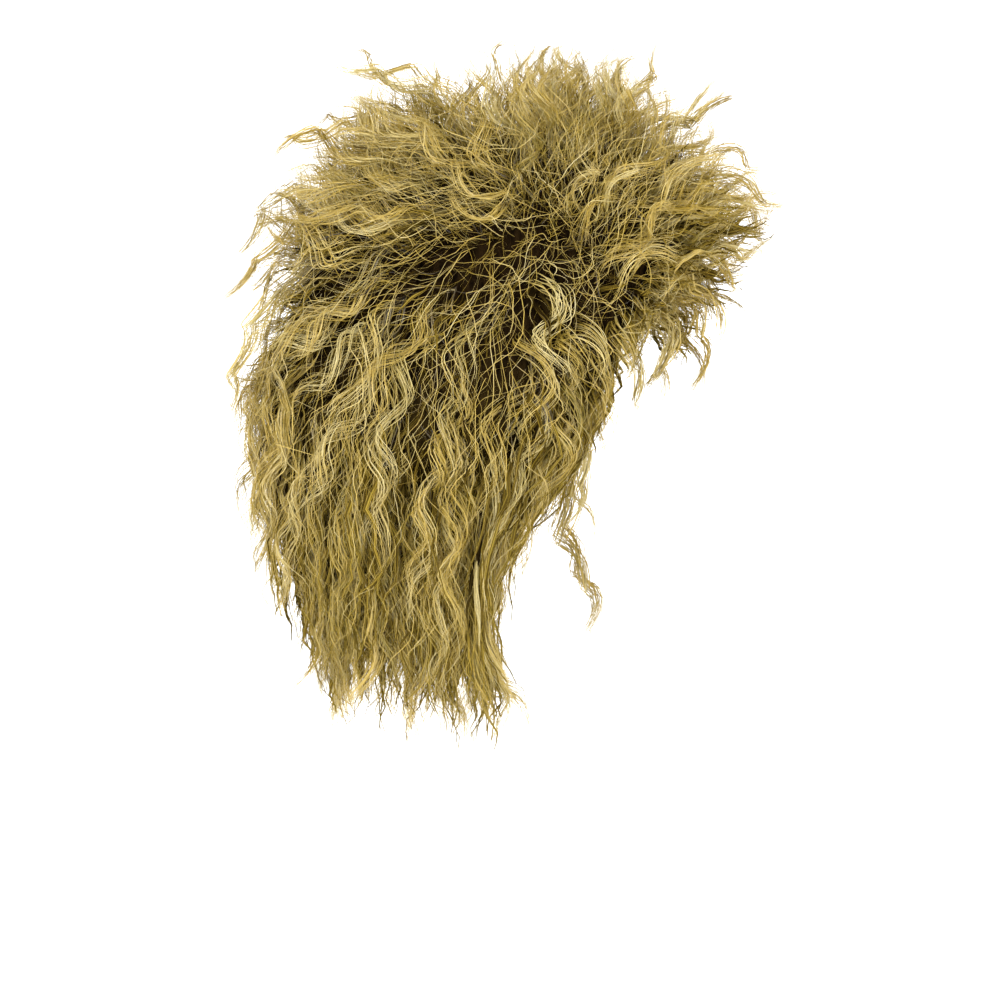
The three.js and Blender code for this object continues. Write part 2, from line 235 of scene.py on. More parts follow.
# Single wisps that stand clear of the rest, by the bundle they belong to: the points that each passes, in
# millimetres, and its thickness
WISPS = {
    "crown_hair": [
        ([(-33, -20, 50), (-60, -25, 84), (-96, -22, 96), (-124, -24, 106)], 1.2),
        ([(-30, 14, 55), (-55, 20, 92), (-84, 22, 103), (-118, 26, 98)], 1.0),
        ([(-14, -6, 70), (-12, -4, 100), (-20, 2, 112), (-8, 0, 127)], 0.5),
        ([(26, 8, 66), (36, 10, 92), (30, 6, 110), (26, 4, 124)], 0.8),
        ([(40, -20, 56), (70, -22, 76), (88, -20, 98), (90, -24, 119)], 1.0),
        ([(50, 20, 50), (84, 22, 66), (112, 24, 70), (140, 20, 88)], 1.0),
        ([(60, -16, 48), (92, -14, 60), (118, -20, 68), (146, -16, 88)], 1.0),
        ([(66, 4, 40), (98, 2, 62), (120, 6, 80), (132, 4, 96)], 0.9),
        ([(10, -14, 66), (20, -16, 92), (12, -12, 108), (24, -14, 122)], 0.8),
        ([(-50, 4, 52), (-78, 6, 82), (-96, 4, 104), (-116, 6, 116)], 0.9),
        ([(-80, -36, 30), (-116, -44, 44), (-146, -46, 56), (-160, -44, 38)], 1.1),
        ([(-70, -10, 40), (-110, -14, 62), (-140, -12, 56), (-166, -16, 50)], 1.2),
        ([(-60, 40, 44), (-96, 52, 68), (-124, 58, 76), (-146, 60, 66)], 1.0),
    ],
    "fringe_hair": [
        ([(80, -22, 10), (118, -24, 28), (150, -20, 22), (180, -18, 5)], 1.4),
        ([(80, 20, 8), (112, 24, 24), (146, 22, 14), (172, 18, -18)], 1.2),
        ([(76, -30, -6), (112, -34, -10), (130, -30, -34), (150, -26, -46)], 1.2),
        ([(72, -40, -16), (106, -44, -34), (126, -40, -58), (136, -38, -80)], 1.4),
        ([(70, -34, -24), (98, -36, -46), (122, -32, -72), (116, -30, -116)], 1.5),
        ([(70, 30, -24), (96, 34, -48), (110, 30, -76), (128, 28, -112)], 1.4),
        ([(66, -44, -30), (88, -50, -52), (96, -48, -80), (90, -44, -122)], 1.5),
        ([(66, 42, -30), (86, 48, -56), (98, 46, -84), (88, 42, -116)], 1.4),
        ([(64, -10, -22), (94, -12, -34), (108, -8, -62), (102, -10, -100)], 1.4),
        ([(68, 8, -18), (100, 10, -34), (120, 8, -56), (112, 6, -84)], 0.9),
        ([(60, -50, -40), (78, -58, -64), (74, -56, -92), (80, -52, -128)], 1.3),
        ([(84, -8, 26), (120, -6, 44), (146, -4, 44), (166, -6, 30)], 1.0),
        ([(84, 10, -6), (120, 12, -8), (150, 10, -22), (170, 8, -12)], 1.0),
        ([(78, -6, -14), (112, -6, -24), (136, -4, -50), (150, -6, -66)], 0.9),
    ],
    "temple_hair_right": [
        ([(44, -74, -64), (46, -82, -120), (34, -80, -160), (50, -78, -214)], 0.8),
        ([(38, -78, -80), (34, -86, -130), (42, -84, -170), (28, -82, -205)], 0.8),
        ([(48, -66, -60), (54, -72, -96), (46, -72, -126), (52, -70, -160)], 0.8),
    ],
    "temple_hair_left": [
        ([(40, 74, -80), (36, 80, -160), (30, 76, -215), (50, 74, -250), (42, 72, -284)], 1.6),
        ([(36, 78, -90), (30, 84, -170), (38, 80, -230), (54, 78, -262), (46, 76, -290)], 1.2),
        ([(46, 68, -64), (52, 76, -112), (40, 74, -150), (52, 72, -198)], 0.8),
    ],
    "side_hair_right": [
        ([(-20, -92, -150), (-12, -94, -220), (-22, -90, -284), (10, -86, -334)], 2.0),
        ([(-44, -94, -170), (-40, -98, -236), (-52, -92, -290), (-34, -88, -338)], 1.8),
        ([(-64, -92, -170), (-70, -96, -236), (-62, -92, -290), (-80, -88, -336)], 1.8),
        ([(-90, -88, -160), (-98, -92, -226), (-92, -88, -276), (-112, -84, -322)], 1.6),
    ],
    "side_hair_left": [
        ([(-24, 92, -150), (-14, 94, -220), (-24, 90, -284), (4, 86, -332)], 1.8),
        ([(-60, 92, -170), (-66, 96, -236), (-56, 92, -290), (-74, 88, -336)], 1.6),
    ],
    "back_hair": [
        ([(-110, -30, 10), (-150, -34, -6), (-176, -30, -30), (-196, -28, -54)], 1.4),
        ([(-120, 26, 14), (-154, 30, 24), (-172, 28, 10), (-188, 24, -24)], 1.2),
        ([(-130, -60, -30), (-166, -64, -60), (-184, -58, -96), (-192, -50, -134)], 1.2),
        ([(-136, 50, -40), (-168, 56, -84), (-184, 50, -120), (-190, 44, -148)], 1.2),
        ([(-140, -10, -60), (-172, -12, -110), (-176, -8, -150), (-172, -10, -196)], 1.0),
    ],
    "tail_hair": [
        ([(-150, -40, -130), (-170, -44, -180), (-166, -40, -206), (-172, -36, -232)], 1.0),
        ([(-148, 30, -140), (-168, 34, -190), (-158, 30, -230), (-160, 26, -262)], 1.0),
        ([(-128, -50, -170), (-146, -52, -230), (-134, -48, -276), (-148, -44, -312)], 1.4),
        ([(-120, -20, -170), (-136, -20, -240), (-122, -16, -290), (-128, -14, -330)], 1.4),
    ],
}

# The colours of a fibre along the map's height, for its three tones and for the painted shade in the gaps
# between the lines
OLIVE_RAMP = [(0.0, "#0b0703"), (0.22, "#191106"), (0.5, "#3a3213"), (0.78, "#685b23"), (1.0, "#75682d")]
GOLD_RAMP = [(0.0, "#110b04"), (0.22, "#271c09"), (0.5, "#63511b"), (0.78, "#967c28"), (1.0, "#a88e3b")]
PALE_RAMP = [(0.0, "#130d05"), (0.22, "#2a200d"), (0.5, "#716333"), (0.78, "#a69658"), (1.0, "#baac79")]
PAINTED_GAP_SHADE_RAMP = [(0.0, "#0b0703"), (0.5, "#1f1707"), (0.8, "#3c3011"), (1.0, "#4a3c16")]

# The roughness and the specular level of each material
GLOSS = {
    "crimped_fibre": (0.36, 0.44),
    "lined_fibre": (0.7, 0.0),
    "painted_shade_hair": (0.85, 0.0),
    "knitted_net": (0.9, 0.1),
    "pale_backdrop": (0.9, 0.5),
}

# Streaks are noise, drawn out by a scale for each axis, and a variety is how far they reach
SINGLE_STREAKS, SINGLE_VARIETY = (60, 80, 1), 1.1
# The line ramp parts the golden lines from the painted shade in the gaps between them
LINE_STREAKS, LINE_RAMP = (110, 1.6, 1), [(0.5, "#000000"), (0.62, "#ffffff")]
# The last value moves the broad fibres' tone towards olive, as painted shade beneath the locks
BROAD_STREAKS, BROAD_VARIETY, BROAD_SHADE_SHIFT = (40, 3, 1), 1.6, 0.4
# The dark body is painted deep shade: near-black, turning between these heights to a lighter olive shade
# lower down
CORE_STREAKS, CORE_HEIGHTS = (260, 260, 40), (-0.08, -0.24)
CORE_SHADE_NEAR_BLACK, CORE_SHADE_OLIVE = [(0.35, "#080503"), (0.7, "#21170a")], [(0.35, "#171106"), (0.7, "#4a3c18")]
CORE_BUMP = dict(Strength=1.0, Distance=0.002)
KNIT_SCALE, KNIT_RAMP = 520.0, [(0.0, "#4a3d2a"), (0.35, "#15100b")]
WEFT_SCALE, WEFT_WOBBLE, WEFT_COLOUR = 26.0, 0.6, "#2b2014"
WEFT_RAMP = [(0.78, "#000000"), (0.9, "#ffffff")]
CAP_BUMP = dict(Strength=0.8, Distance=0.0012)
MIX_FIRST, MIX_SECOND, MIX_RESULT = 6, 7, 2  # the colour sockets of a mix node, where names are used twice

# The photo's view: its centre, width and distance, and its rise above the horizon. It looks along +Y.
VIEW_CENTRE = (-0.0134, 0.0, -0.186)
VIEW_WIDTH, VIEW_DISTANCE, VIEW_RISE = 0.67, 2.2, 1.5

# The lights: where each stands, its size and its power. All of them aim at the middle of the wig.
LIGHTS = {
    "key": ((-0.9, -1.9, 1.3), 1.4, 42),
    "fill": ((1.6, -1.5, 0.5), 1.8, 22),
    "back": ((-0.6, 1.9, 1.2), 1.4, 26),
    "top": ((0.2, 0.1, 2.0), 1.2, 20),
}
LIGHTS_AIM, WORLD_LIGHT = (0, 0, -0.12), 0.8

# The backdrop: a floor, its bend and a wall, all round, in steps, and how white it is and how much it glows
FLOOR_HEIGHT, FLOOR_HOLE, FLOOR_RADIUS, FLOOR_BEND, WALL_HEIGHT = -0.52, 0.001, 3.4, 0.9, 3.6
BEND_STEPS, TURN_STEPS = 12, 64
BACKDROP_WHITE, BACKDROP_GLOW = 0.9, 0.45


def hermite(knots, values, x, flat_ends=False):
    """A smooth curve through values at knots, read at each x. Values may have a row for each x."""
    knots, values = np.asarray(knots, float), np.asarray(values, float)
    gaps = np.diff(knots).reshape((-1,) + (1,) * (values.ndim - 1))
    if flat_ends:
        first = final = np.zeros_like(values[:1])
    else:
        first = (values[1:2] - values[:1]) / gaps[:1]
        final = (values[-1:] - values[-2:-1]) / gaps[-1:]
    inner = (values[2:] - values[:-2]) / (gaps[1:] + gaps[:-1])
    slopes = np.concatenate([first, inner, final])
    i = np.clip(np.searchsorted(knots, x, side="right") - 1, 0, len(knots) - 2)
    span = knots[i + 1] - knots[i]
    s = (x - knots[i]) / span

    def pick(rows, n):
        return rows[n] if rows.ndim == 1 else rows[n, np.arange(len(x))]

    return (
        pick(values, i) * (2 * s**3 - 3 * s**2 + 1)
        + pick(values, i + 1) * (3 * s**2 - 2 * s**3)
        + pick(slopes, i) * span * (s**3 - 2 * s**2 + s)
        + pick(slopes, i + 1) * span * (s**3 - s**2)
    )


def fold(azimuth):
    turned = np.abs(azimuth) % 360
    return np.where(turned > 180, 360 - turned, turned)


def table_at(rows, azimuth, tier):
    """A two-way table read at each azimuth and tier. Left and right are alike."""
    columns = np.asarray(rows, float).T
    across = np.stack([hermite(TIERS, column, tier) for column in columns])
    return hermite(STATIONS, across, fold(azimuth), flat_ends=True)


def smooth(low, high, x):
    s = np.clip((x - low) / (high - low), 0, 1)
    return s * s * (3 - 2 * s)


def unit(vectors):
    return vectors / np.maximum(np.linalg.norm(vectors, axis=-1, keepdims=True), 1e-9)


def tucked(points):
    """Points by the neck moved back, where the hanging hair clears the jaw."""
    x, z = points[..., 0], points[..., 2]
    share = smooth(*NECK_FROM, z) * (1 - smooth(*NECK_TO, z)) * smooth(*NECK_FRONT, x)
    moved = points.copy()
    moved[..., 0] -= NECK_TUCK * share
    return moved


def roots_on_cap(azimuth, tier):
    """The point of the cap at each root, and the direction straight out of it."""
    tilt = np.radians(tier * hermite(EDGE_AZIMUTH, EDGE_TILT, fold(azimuth), flat_ends=True))
    turn = np.radians(azimuth)
    radii = np.stack([
        np.where(np.cos(turn) > 0, HEAD_FRONT, HEAD_BACK),
        np.full_like(turn, HEAD_HALF_WIDTH),
        np.where(np.cos(tilt) > 0, HEAD_RISE, HEAD_TUCK),
    ], -1)
    on_ball = np.stack([np.cos(turn) * np.sin(tilt), np.sin(turn) * np.sin(tilt), np.cos(tilt)], -1)
    normal = unit(on_ball / radii)
    return on_ball * radii + HEAD_CENTRE + normal * ROOT_HEIGHT, normal


def tips(azimuth, tier):
    reach = table_at(TIP_REACH, azimuth, tier)
    height = table_at(TIP_HEIGHT, azimuth, tier)
    turn = np.radians(azimuth)
    return np.stack([
        np.cos(turn) * reach * np.where(np.cos(turn) > 0, HAIR_FRONT, HAIR_BACK),
        np.sin(turn) * reach * HAIR_SIDE,
        height * np.where(height > 0, HAIR_RISE, HAIR_DROP),
    ], -1)


def on_curves(azimuth, tier, along):
    """The point at each share along the curve of each root. The three arrays have one shape."""
    shape = np.shape(azimuth)
    azimuth, tier, along = (np.ravel(v) for v in (azimuth, tier, along))
    root, normal = roots_on_cap(azimuth, tier)
    tip = tips(azimuth, tier)
    reach = np.linalg.norm(tip - root, axis=-1, keepdims=True)
    lift = hermite(GROWTH_TIER, ROOT_LIFT, tier)[:, None] * reach
    hanging = smooth(HANG_FROM, HANG_TO, root[:, 2] - tip[:, 2])[:, None]
    up = np.array([0, 0, 1.0])
    leaving = root + normal * lift
    arriving = tip + up * HANGING_PULL * reach * hanging
    arriving -= unit(tip - HEAD_CENTRE) * OUTWARD_PULL * reach * (1 - hanging)
    t = along[:, None]
    points = (
        root * (1 - t) ** 3
        + leaving * 3 * t * (1 - t) ** 2
        + arriving * 3 * t**2 * (1 - t)
        + tip * t**3
    )
    return points.reshape(shape + (3,))


def frames_along(points):
    """The directions sideways and outward of each fibre, at each of its points."""
    along = unit(np.gradient(points, axis=1))
    centre = np.stack([
        np.full(points.shape[:2], HEAD_SHIFT),
        np.zeros(points.shape[:2]),
        np.minimum(points[..., 2], -HEAD_RISE),
    ], -1)
    outward = points - centre
    outward = unit(outward - along * (outward * along).sum(-1, keepdims=True))
    return np.cross(along, outward), outward


def scatter_roots(rng, bundle, count, spill):
    """Roots spread evenly over a bundle: fewer towards the crown, where the bundle narrows to a point."""
    (west, east), (low, high) = bundle["azimuth"], bundle["tier"]
    number = np.arange(count)
    down, across = ((number * step + rng.random()) % 1 for step in EVEN_STEPS)
    down = np.clip(down + rng.normal(0, EVEN_BLUR, count), 0, 1)
    across = across + rng.normal(0, EVEN_BLUR, count)
    tier = np.sqrt(low**2 + (high**2 - low**2) * down)
    return west - spill + (east - west + 2 * spill) * across, tier


def stray_by_tier(tier):
    """Teased hair strays most. What hangs from near the edge of the cap keeps to its curves."""
    return 1 - LOW_CALM * smooth(*LOW_TIERS, tier)


def phases(rng, count):
    return rng.uniform(0, 2 * math.pi, count)


def waves(rng, count, along, turns, height):
    """Slow random waves for each fibre, of about the given height."""
    total = 0
    for slow in SLOW_WAVES:
        phase = phases(rng, (count, 1))
        size = height * rng.normal(0, 1, (count, 1)) / (1 + slow)
        total = total + size * np.sin(2 * math.pi * slow * turns * along + phase)
    return total


def lock_fibres(rng, bundle):
    """The paths of the fibres that are clumped in locks."""
    locks, each = bundle["locks"], bundle["fibres"]
    azimuth, tier = scatter_roots(rng, bundle, locks, LOCK.spill)
    height, length = bundle["wave"]
    size = rng.uniform(*LOCK.size, locks)
    lock = dict(
        azimuth=azimuth,
        tier=tier,
        turn=np.clip(rng.normal(0, LOCK.turn, locks), -LOCK.most_turn, LOCK.most_turn) * stray_by_tier(tier),
        dip=rng.normal(0, LOCK.dip, locks) * stray_by_tier(tier),
        drape=rng.uniform(*LOCK.drape, locks),
        start=rng.uniform(*LOCK.start, locks),
        end=LOCK.end - np.abs(rng.normal(0, bundle["ends"], locks)),
        height=height * size,
        length=length * size * rng.uniform(*LOCK.stretch, locks),
        phase=phases(rng, locks),
        roundness=rng.uniform(*LOCK.roundness, locks),
        clump=rng.uniform(*bundle["clump"], locks),
        tone=np.clip(rng.normal(*LOCK.tone, locks), *LOCK.tones),
        crimp_phase=phases(rng, locks),
        lightness=rng.normal(*LOCK.lightness, locks),
    )
    of = np.repeat(np.arange(locks), each)
    count = locks * each
    path = {key: value[of] for key, value in lock.items()}
    breadth = path["length"] / length
    ring = np.maximum(np.sqrt(tier[of]), WITHIN.narrowest)
    path["root_azimuth"] = path["azimuth"] + rng.normal(0, WITHIN.turn, count) * breadth / ring
    root_tier = path["tier"] + rng.normal(0, WITHIN.dip, count) * breadth
    path["root_tier"] = np.clip(root_tier, 0, WITHIN.last_tier)
    path["end"] = path["end"] - np.abs(rng.normal(0, WITHIN.shorter, count))
    path["stray"] = rng.uniform(*WITHIN.stray, count) * WITHIN.stray_size
    path["crimp_phase"] = path["crimp_phase"] + rng.normal(0, WITHIN.phase, count)
    path["tone"] = np.clip(path["tone"] + rng.normal(0, WITHIN.tone, count), *TONES)
    return path


def loose_fibres(rng, bundle, count):
    """The paths of the fibres that belong to no lock: shorter and darker, with wide random curls."""
    azimuth, tier = scatter_roots(rng, bundle, count, LOOSE.spill)
    height, length = bundle["wave"]
    stray_size = LOOSE.stray_size + LOOSE.low_stray * smooth(*LOW_TIERS, tier)
    return dict(
        azimuth=azimuth,
        tier=tier,
        root_azimuth=azimuth,
        root_tier=tier,
        turn=rng.normal(0, LOOSE.turn, count) * stray_by_tier(tier),
        dip=rng.normal(0, LOOSE.dip, count) * stray_by_tier(tier),
        drape=rng.uniform(*LOOSE.drape, count),
        start=rng.uniform(*LOOSE.start, count),
        end=rng.uniform(*LOOSE.end, count) + (rng.random(count) > LOOSE.usual) * LOOSE.longer,
        height=height * rng.uniform(*LOOSE.height, count),
        length=length * rng.uniform(*LOOSE.length, count),
        phase=phases(rng, count),
        roundness=rng.uniform(*LOOSE.roundness, count),
        clump=np.zeros(count),
        tone=np.clip(rng.normal(*LOOSE.tone, count), *TONES),
        crimp_phase=phases(rng, count),
        lightness=rng.normal(*LOOSE.lightness, count),
        stray=rng.uniform(*LOOSE.stray, count) * stray_size,
    )


def under_fibres(rng, bundle):
    """The paths of the broad fibres beneath, each of which stands for several, made darker as painted shade
    under the locks.
    """
    count = bundle["under"]
    path = loose_fibres(rng, bundle, count)
    path["turn"] = path["turn"] * UNDER.turn
    path["dip"] = path["dip"] * UNDER.dip
    path["start"] = path["start"] - UNDER.earlier
    longest = np.where(path["tier"] > BACK_END, UNDER.low_end, UNDER.end)
    path["end"] = longest - np.abs(rng.normal(0, UNDER.uneven, count))
    path["height"] = path["height"] * UNDER.height
    # painted shade beneath the locks: the dark roots reach further along these fibres
    path["lightness"] = path["lightness"] - UNDER.darker
    path["stray"] = path["stray"] * UNDER.stray
    return path


def net_fibres(rng, bundle):
    """The paths of the fibres that cross over the dark roots above an ear, in wide arcs."""
    count = bundle["net"]
    path = loose_fibres(rng, bundle, count)
    middle = math.copysign(NET.middle[0], bundle["azimuth"][0])
    path["azimuth"] = path["root_azimuth"] = middle + rng.normal(0, NET.spread[0], count)
    tier = NET.middle[1] + rng.normal(0, NET.spread[1], count)
    path["tier"] = path["root_tier"] = np.clip(tier, *NET.tiers)
    path["turn"] = rng.normal(0, NET.turn, count)
    path["dip"] = rng.normal(*NET.dip, count)
    path["start"] = rng.uniform(*NET.start, count)
    path["end"] = rng.uniform(*NET.end, count)
    path["height"] = path["height"] * NET.height
    path["length"] = path["length"] * NET.length
    path["stray"] = path["stray"] * NET.stray
    path["lightness"] = rng.normal(*NET.lightness, count)
    return path


def lining_fibres(rng, bundle):
    """The paths of the fibres at the edge of the cap, which line the inside of the hanging hair."""
    count = bundle["lining"]
    path = loose_fibres(rng, bundle, count)
    path["tier"] = path["root_tier"] = rng.uniform(*LINING.tier, count)
    path["dip"] = rng.uniform(*LINING.dip, count)
    path["drape"] = np.ones(count)
    path["start"] = np.full(count, LINING.start)
    path["end"] = rng.uniform(*LINING.end, count)
    path["stray"] = path["stray"] * LINING.stray
    path["height"] = path["height"] * LINING.height
    return path


def taper(share, begins):
    """The share of its width that a ribbon keeps, at each share along it."""
    return 1 - (1 - TIP_WIDTH) * smooth(begins, 1.0, share)


def grow(rng, bundle, path, samples, breadth):
    """Points, widths and shades of the fibres of these paths."""
    count = len(path["tier"])
    step = np.linspace(0, 1, samples)[None]
    column = {key: value[:, None] for key, value in path.items()}
    held_tier = np.clip(path["tier"], 0, 1)
    depth = table_at(CORE_DEPTH, path["azimuth"], held_tier)[:, None]
    start = np.maximum(depth + column["start"], FIRST_ROOT)
    longest = np.where(path["tier"] < LONG_TIER, 1 + OVERSHOOT, 1)[:, None]
    grown = start + (np.clip(column["end"], start + SHORTEST, longest) - start) * step
    along = np.where(grown < 1, 1 - np.maximum(1 - grown, 0) ** column["drape"], grown)
    together = 1 - column["clump"] * smooth(*CLUMPING, grown)
    away = smooth(*STRAYING, grown)
    azimuth = column["azimuth"] + (column["root_azimuth"] - column["azimuth"]) * together
    tier = column["tier"] + (column["root_tier"] - column["tier"]) * together
    side = np.where(np.sin(np.radians(path["azimuth"])) < 0, -1, 1)
    back = (side * table_at(COMB_BACK, path["azimuth"], held_tier))[:, None]
    down = table_at(COMB_DOWN, path["azimuth"], held_tier)[:, None]
    narrow = np.maximum(np.sqrt(held_tier), NARROWEST)[:, None]
    azimuth = azimuth + (column["turn"] / narrow + back) * away
    tier = np.clip(tier + (column["dip"] + down) * away, 0.0, np.maximum(1.0, column["tier"]))
    points = on_curves(azimuth, tier, along)
    sideways, outward = frames_along(points)

    pieces = np.linalg.norm(np.diff(points, axis=1), axis=-1)
    travelled = np.concatenate([np.zeros((count, 1)), np.cumsum(pieces, 1)], 1)
    angle = 2 * math.pi * travelled / column["length"] + column["phase"]
    turns = travelled[:, -1:] / column["length"] + MORE_TURNS
    size = column["height"] * smooth(*CURLING, grown) * (1 - CALMER * smooth(*CALM_HEIGHTS, points[..., 2]))
    crimp_height, crimp_length = bundle["crimp"]
    crimps = 2 * math.pi * travelled / crimp_length + column["crimp_phase"]
    stray = smooth(*WANDERING, grown)
    aside = size * np.cos(angle) + crimp_height * np.sin(crimps)
    out = size * column["roundness"] * np.sin(angle) + CRIMP_DEPTH * crimp_height * np.cos(crimps)
    aside = aside + waves(rng, count, grown, turns, column["stray"]) * stray
    out = out + waves(rng, count, grown, turns, column["stray"]) * stray
    points = tucked(points + sideways * aside[..., None] + outward * out[..., None])

    width = breadth * rng.uniform(*FIBRE_WIDTHS, (count, 1)) * taper(step, TAPER_FROM)
    gold_from = table_at(ROOTS_END, path["azimuth"], held_tier)[:, None]
    gold_from = gold_from + rng.normal(0, ROOT_BLUR, (count, 1)) - column["lightness"]
    before, after = ROOT_FADE
    shade = GOLD_SHADE * smooth(gold_from - before, gold_from + after, along) + TIP_SHADE * along
    return points, width, shade, path["tone"]


def wisp_fibres(rng, guides, samples):
    """Fibres of the single wisps that stand clear of the rest: each guide is the points that one passes."""
    made = []
    for guide, thickness in guides:
        knots = np.array(guide) / 1000
        spaced = np.concatenate([[0], np.cumsum(np.linalg.norm(np.diff(knots, axis=0), axis=1))])
        count = round(WISP.fibres * thickness)
        end = WISP.end - np.abs(rng.normal(0, WISP.uneven, (count, 1)))
        at = spaced[-1] * end * np.linspace(0, 1, samples)[None]
        path = np.stack([hermite(spaced, knots[:, k], at) for k in range(3)], -1)
        share = at / spaced[-1]
        curl = rng.uniform(*WISP.curl)
        phase = rng.uniform(0, 2 * math.pi) + rng.normal(0, WISP.phase, (count, 1))
        size = WISP.height * smooth(*WISP.curling, share)
        apart = WISP.apart * thickness * (1 - WISP.gather * smooth(*WISP.gathering, share))
        for axis, turn in WISP.axes:
            path[..., axis] += size * np.sin(2 * math.pi * at / curl + phase + turn)
            path[..., axis] += apart * rng.normal(0, 1, (count, 1))
            path[..., axis] += waves(rng, count, share, WISP.turns, WISP.stray) * share
        tone = np.clip(rng.normal(*WISP.tone) + rng.normal(0, WITHIN.tone, count), *WISP.tones)
        width = WISP.width * rng.uniform(*WISP.widths, (count, 1)) * taper(share, WISP.taper_from)
        root_shade, tip_shade = WISP.shade
        made.append((path, width, root_shade + tip_shade * smooth(*WISP.golden, share), tone))
    return [np.concatenate(part) for part in zip(*made)]


def ribbon_edges(rng, points, width):
    """The two edges of a ribbon along each fibre, which slowly turns about its own length."""
    sideways, outward = frames_along(points)
    count, samples = width.shape
    at_root, to_tip = (rng.normal(0, spread, (count, 1)) for spread in RIBBON_TURNS)
    turn = at_root + to_tip * np.linspace(0, 1, samples)
    across = sideways * np.cos(turn)[..., None] + outward * np.sin(turn)[..., None]
    half = across * width[..., None] / 2
    return np.stack([points - half, points + half], 2)


def fibre_mesh(name, strips):
    """A mesh of all the ribbons. Its map holds the tone across and the shade along each of them."""
    verts, corners, marks, kinds, start = [], [], [], [], 0
    for edges, shade, tone, (left, right), half_mark, kind in strips:
        count, samples = edges.shape[:2]
        first = start + np.arange(count)[:, None] * samples * 2 + 2 * np.arange(samples - 1)[None]
        corners.append(np.stack([first, first + 1, first + 3, first + 2], -1).reshape(-1))
        mark = np.empty((count, samples, 2, 2))
        mark[..., 0] = left + (right - left) * tone[:, None, None] + half_mark * np.array([-1, 1])
        mark[..., 1] = MAP_EDGE + (1 - 2 * MAP_EDGE) * shade[..., None]
        marks.append(mark.reshape(-1, 2))
        verts.append(edges.reshape(-1, 3))
        kinds.append(np.full(first.size, kind))
        start += count * samples * 2
    verts, corners, marks, kinds = (np.concatenate(part) for part in (verts, corners, marks, kinds))
    faces = len(corners) // 4
    mesh = bpy.data.meshes.new(name)
    mesh.vertices.add(len(verts))
    mesh.vertices.foreach_set("co", verts.astype(np.float32).ravel())
    mesh.loops.add(faces * 4)
    mesh.loops.foreach_set("vertex_index", corners.astype(np.int32))
    mesh.polygons.add(faces)
    mesh.polygons.foreach_set("loop_start", np.arange(0, faces * 4, 4, dtype=np.int32))
    mesh.polygons.foreach_set("material_index", kinds.astype(np.int32))
    mesh.update(calc_edges=True)
    layer = mesh.uv_layers.new(name="OFBake")
    layer.data.foreach_set("uv", marks[corners].astype(np.float32).ravel())
    smooth_shaded(mesh)
    mesh.validate()
    return mesh


def smooth_shaded(mesh):
    mesh.polygons.foreach_set("use_smooth", np.ones(len(mesh.polygons), bool))


def placed_piece(name, mesh, materials, node):
    """An object that rides on the wig's one body and takes the place of a node's solid."""
    for material in materials:
        mesh.materials.append(material)
    piece = bpy.data.objects.new(name, mesh)
    bpy.context.collection.objects.link(piece)
    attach(piece, "root")
    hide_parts(node)


def hair_piece(number, bundle, materials):
    """All the fibres of one bundle, as one object."""
    rng = np.random.default_rng(FIRST_SEED + number)
    samples = bundle["points"]
    few, some, many = (round(samples * kind.points) for kind in (UNDER, LOOSE, WISP))
    single = (SINGLE_MARKS, SINGLE_MARK, 0)
    kinds = [
        (under_fibres(rng, bundle), few, UNDER.width, (BROAD_MARKS, BROAD_MARK, 1)),
        (lock_fibres(rng, bundle), samples, LOCK.width, single),
        (loose_fibres(rng, bundle, bundle["loose"]), some, LOOSE.width, single),
    ]
    if bundle["lining"]:
        kinds.append((lining_fibres(rng, bundle), some, LOCK.width, single))
    if bundle["net"]:
        kinds.append((net_fibres(rng, bundle), few, LOOSE.width, single))
    strips = []
    for path, points, breadth, marking in kinds:
        middle, width, shade, tone = grow(rng, bundle, path, points, breadth)
        strips.append((ribbon_edges(rng, middle, width), shade, tone, *marking))
    middle, width, shade, tone = wisp_fibres(rng, WISPS[bundle["name"]], many)
    strips.append((ribbon_edges(rng, middle, width), shade, tone, *single))
    name = bundle["name"] + "_fibres"
    placed_piece(name, fibre_mesh(name, strips), materials, bundle["name"])


def sheet_faces(grid, flip):
    """Faces over a two-way grid of vertex numbers."""
    a, b, c, d = grid[:-1, :-1], grid[:-1, 1:], grid[1:, 1:], grid[1:, :-1]
    order = (a, d, c, b) if flip else (a, b, c, d)
    return np.stack(order, -1).reshape(-1, 4)


def core_body(rng, bundle):
    """Points and faces of the dark body inside one bundle, closed all round."""
    (west, east), (top, bottom) = bundle["azimuth"], bundle["tier"]
    columns = round((east - west) / CORE_STEPS[0]) + 1
    rows = round((bottom - top) / CORE_STEPS[1]) + 1
    azimuth, tier, share = np.meshgrid(
        np.linspace(west, east, columns),
        np.linspace(top, bottom, rows),
        np.linspace(0, 1, CORE_LAYERS),
        indexing="ij",
    )
    depth = table_at(CORE_DEPTH, azimuth.ravel(), tier.ravel()).reshape(azimuth.shape)
    rougher = 1 + EDGE_ROUGH * smooth(*EDGE_TIERS, tier[..., :1])
    rough = rng.normal(0, CORE_ROUGH, azimuth.shape[:2])[..., None] * rougher
    whole_turn = east - west == 360
    if whole_turn:
        rough[-1] = rough[0]
    if top == 0:
        rough[:, 0] = rough[0, 0]
    points = on_curves(azimuth, tier, CORE_START + (depth - CORE_START + rough) * share)
    number = np.arange(azimuth.size).reshape(azimuth.shape)
    faces = [
        sheet_faces(number[:, :, -1], False),
        sheet_faces(number[:, :, 0], True),
        sheet_faces(number[:, -1, :], False),
    ]
    if top > 0:
        faces.append(sheet_faces(number[:, 0, :], True))
    if not whole_turn:
        faces += [sheet_faces(number[0, :, :], False), sheet_faces(number[-1, :, :], True)]
    return tucked(points.reshape(-1, 3)), np.concatenate(faces)


